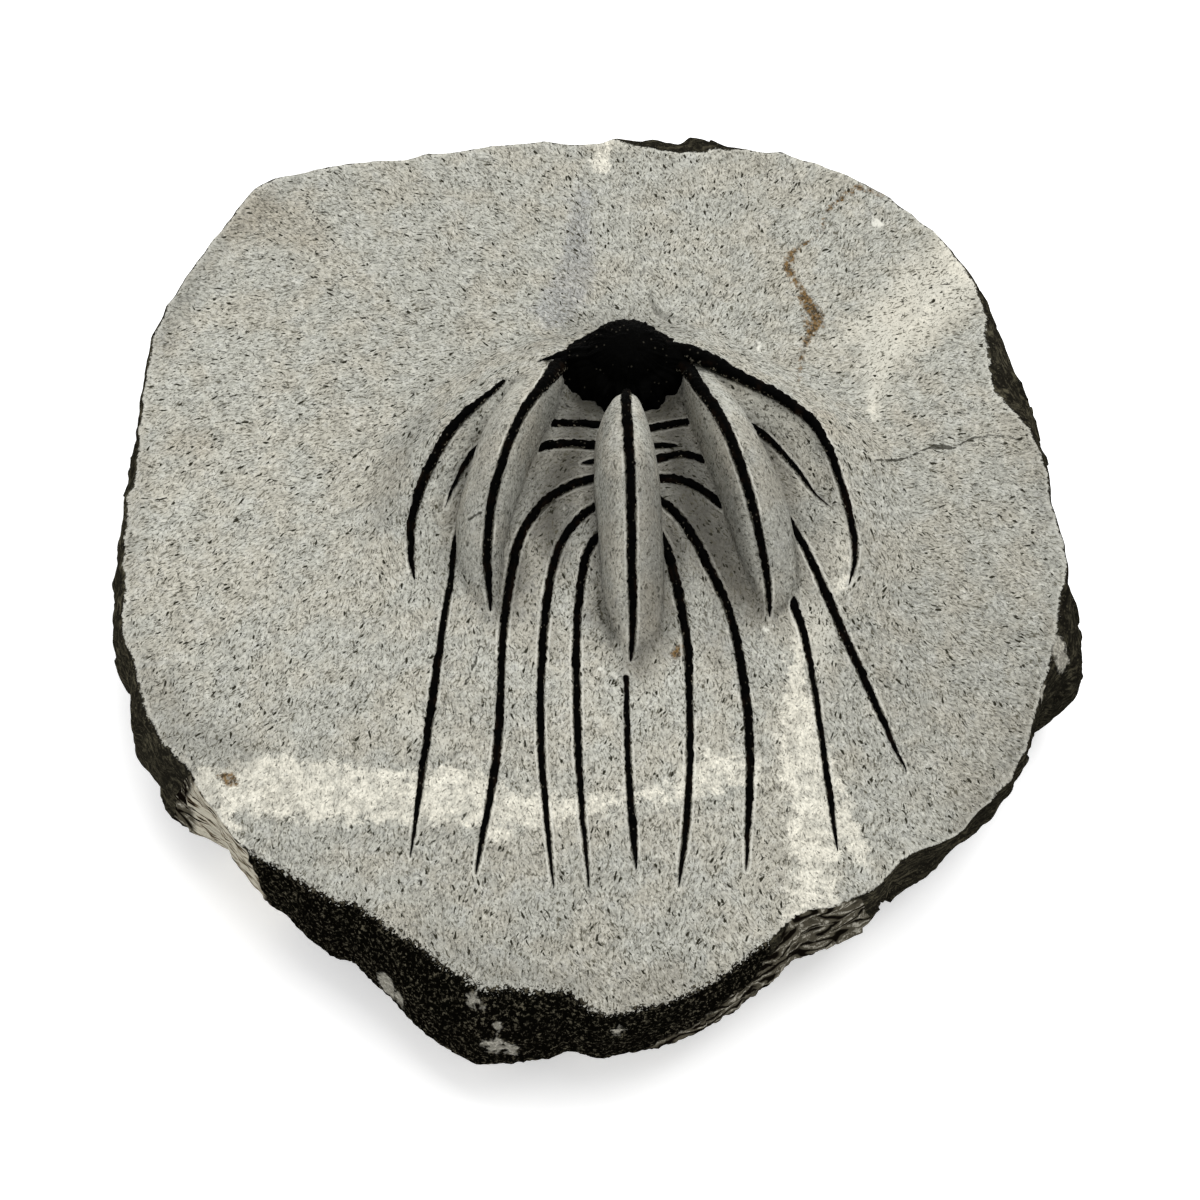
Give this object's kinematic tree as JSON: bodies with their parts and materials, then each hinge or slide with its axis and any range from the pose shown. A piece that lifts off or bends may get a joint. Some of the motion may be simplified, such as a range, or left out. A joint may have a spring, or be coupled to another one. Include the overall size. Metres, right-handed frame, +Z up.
{
  "type": "fossil trilobite",
  "caption": "Long-spined black trilobite prepared in relief on a grey limestone block, with stone fins left under its raised spines.",
  "frame": {"origin": "on the block's flat foot, below the middle of the prepared face", "axes": "+Z up through the block's thickness, +Y towards the fossil's head, +X to the right seen from above with the head away"},
  "size_m": [0.1069, 0.117, 0.0343],
  "materials": {
    "limestone": "matt, tooled, with a broken dark rim",
    "dark_shell": "near black, dull to satin, pitted"
  },
  "bodies": {
    "root": {"matrix": "limestone", "head_shield": "dark_shell", "middle_spine": "dark_shell", "inner_spine_left": "dark_shell", "inner_spine_right": "dark_shell", "outer_spine_left": "dark_shell", "outer_spine_right": "dark_shell", "trunk_spine_left_1": "dark_shell", "trunk_spine_left_2": "dark_shell", "trunk_spine_left_3": "dark_shell", "trunk_spine_left_4": "dark_shell", "trunk_spine_left_5": "dark_shell", "trunk_spine_left_6": "dark_shell", "tail_spine_middle": "dark_shell", "trunk_spine_right_1": "dark_shell", "trunk_spine_right_2": "dark_shell", "trunk_spine_right_3": "dark_shell", "trunk_spine_right_4": "dark_shell", "trunk_spine_right_5": "dark_shell", "trunk_spine_right_6": "dark_shell"}
  },
  "joints": []
}
